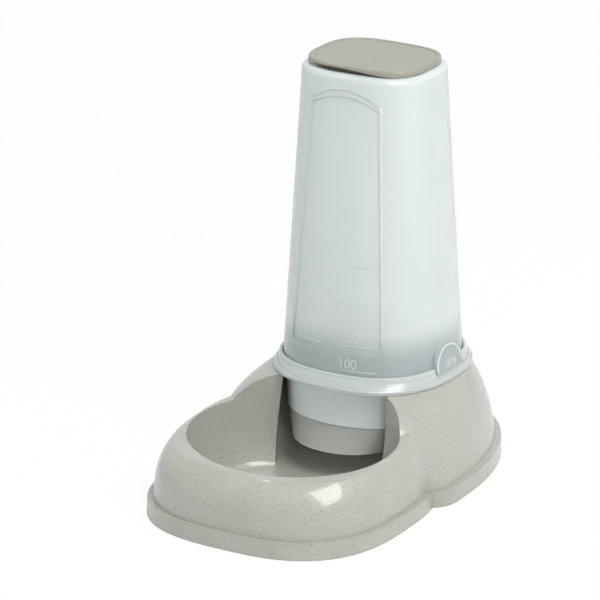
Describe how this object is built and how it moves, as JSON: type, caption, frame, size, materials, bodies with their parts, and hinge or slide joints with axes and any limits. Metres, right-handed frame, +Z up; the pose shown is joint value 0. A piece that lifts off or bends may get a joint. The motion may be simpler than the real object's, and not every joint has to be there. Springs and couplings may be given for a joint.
{
  "type": "pet food and water dispenser",
  "caption": "Gravity dispenser for pet food or water: a stable base with a bowl, a clear tapered tank that feeds it through a funnel, and a lid.",
  "frame": {"origin": "on the table, under the middle of the base", "axes": "+X to the right, +Y from the bowl to the tank, +Z up"},
  "size_m": [0.1895, 0.3, 0.2881],
  "materials": {
    "granite_plastic": "glossy polypropylene, warm grey with fine dark and light specks",
    "lid_plastic": "satin polypropylene, warm grey with fine specks",
    "milky_plastic": "milky translucent polypropylene with a soft gloss",
    "silicone": "soft pale silicone",
    "rubber": "matt dark rubber"
  },
  "bodies": {
    "base": {"base": "granite_plastic", "foot_front_left": "rubber", "foot_front_right": "rubber", "foot_rear_left": "rubber", "foot_rear_right": "rubber"},
    "funnel_unit": {"funnel": "milky_plastic", "spout_liner": "milky_plastic", "tank_seal": "silicone"},
    "tank": {"tank": "milky_plastic"},
    "lid": {"lid": "lid_plastic", "lid_seal": "rubber"}
  },
  "joints": [
    {"name": "funnel_lift", "type": "slide", "parent": "base", "child": "funnel_unit", "axis": [0, 0, 1], "range_m": [0, 0.09]},
    {"name": "tank_lift", "type": "slide", "parent": "funnel_unit", "child": "tank", "axis": [0, 0, 1], "range_m": [0, 0.05]},
    {"name": "lid_lift", "type": "slide", "parent": "tank", "child": "lid", "axis": [0, 0, 1], "range_m": [0, 0.05]}
  ]
}
